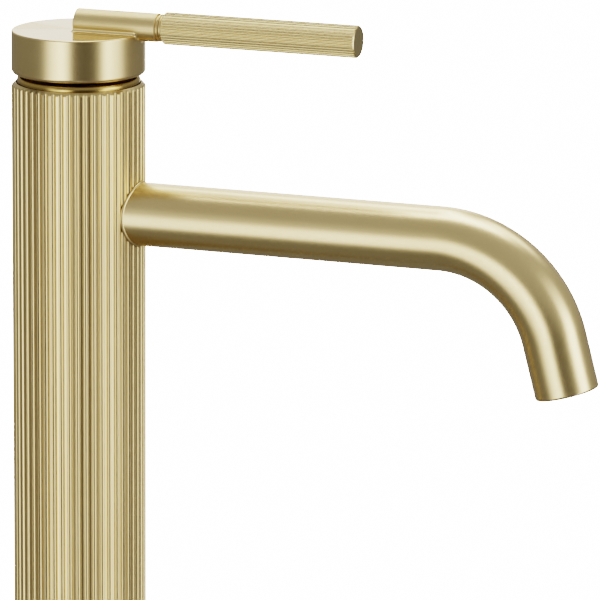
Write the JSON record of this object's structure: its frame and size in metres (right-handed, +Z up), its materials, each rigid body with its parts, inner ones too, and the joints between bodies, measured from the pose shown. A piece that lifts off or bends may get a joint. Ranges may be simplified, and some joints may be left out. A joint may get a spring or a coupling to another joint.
{
  "type": "bathroom mixer faucet",
  "caption": "Tall single-lever basin mixer with a fluted column, a flat turning cap with a reeded lever grip, and a fixed bent tube spout.",
  "frame": {"origin": "centre of the column's foot, in the plane of the worktop that it stands on", "axes": "+Z up along the column; +X forward along the spout and the lever, towards the user; hot is on the -Y side"},
  "size_m": [0.2157, 0.049, 0.3686],
  "materials": {
    "brushed_gold": "brass, finely brushed, with a pale gold vapour-deposited coat",
    "polished_gold": "brass, polished, with a deeper gold coat",
    "raw_brass": "bare machined brass",
    "steel": "stainless steel, as machined",
    "acetal": "white acetal, as moulded",
    "ceramic": "alumina, lapped",
    "rubber": "black nitrile rubber"
  },
  "bodies": {
    "column": {"body_shell": "brushed_gold", "base_ring": "brushed_gold", "base_gasket": "rubber", "base_insert": "raw_brass", "mounting_stud_left": "steel", "mounting_stud_right": "steel", "clamp_pad": "rubber", "clamp_plate": "steel", "stud_nut_left": "steel", "stud_nut_right": "steel", "valve_block": "raw_brass", "port_seal_hot": "rubber", "port_seal_cold": "rubber", "port_seal_mixed": "rubber", "cartridge_base": "acetal", "cartridge_housing": "acetal", "fixed_disc": "ceramic", "cartridge_nut": "raw_brass", "cover_ring": "polished_gold", "spout_tube": "brushed_gold", "spout_spigot": "raw_brass", "spout_seal": "rubber", "aerator_housing": "brushed_gold", "aerator_insert": "acetal", "aerator_seal": "rubber"},
    "turret": {"cartridge_turret": "acetal", "pivot_pin": "steel"},
    "slider": {"disc_carrier": "acetal", "moving_disc": "ceramic"},
    "lever": {"cartridge_stem": "steel", "handle_cap": "brushed_gold", "handle_grub_screw": "steel", "index_plug": "brushed_gold", "grip_stud": "steel", "lever_grip": "brushed_gold"}
  },
  "joints": [
    {"name": "lever_swing", "type": "hinge", "parent": "column", "child": "turret", "pos_m": [0, 0, 0.29], "axis": [0, 0, 1], "range_deg": [-50, 50]},
    {"name": "lever_lift", "type": "hinge", "parent": "turret", "child": "lever", "pos_m": [0, 0, 0.27725], "axis": [0, -1, 0], "range_deg": [0, 22]},
    {"name": "disc_slide", "type": "slide", "parent": "turret", "child": "slider", "axis": [1, 0, 0], "range_m": [0, 0.0036]}
  ],
  "couplings": [
    {"joint": "disc_slide", "follows": "lever_lift", "m_per_rad": 0.0092}
  ]
}
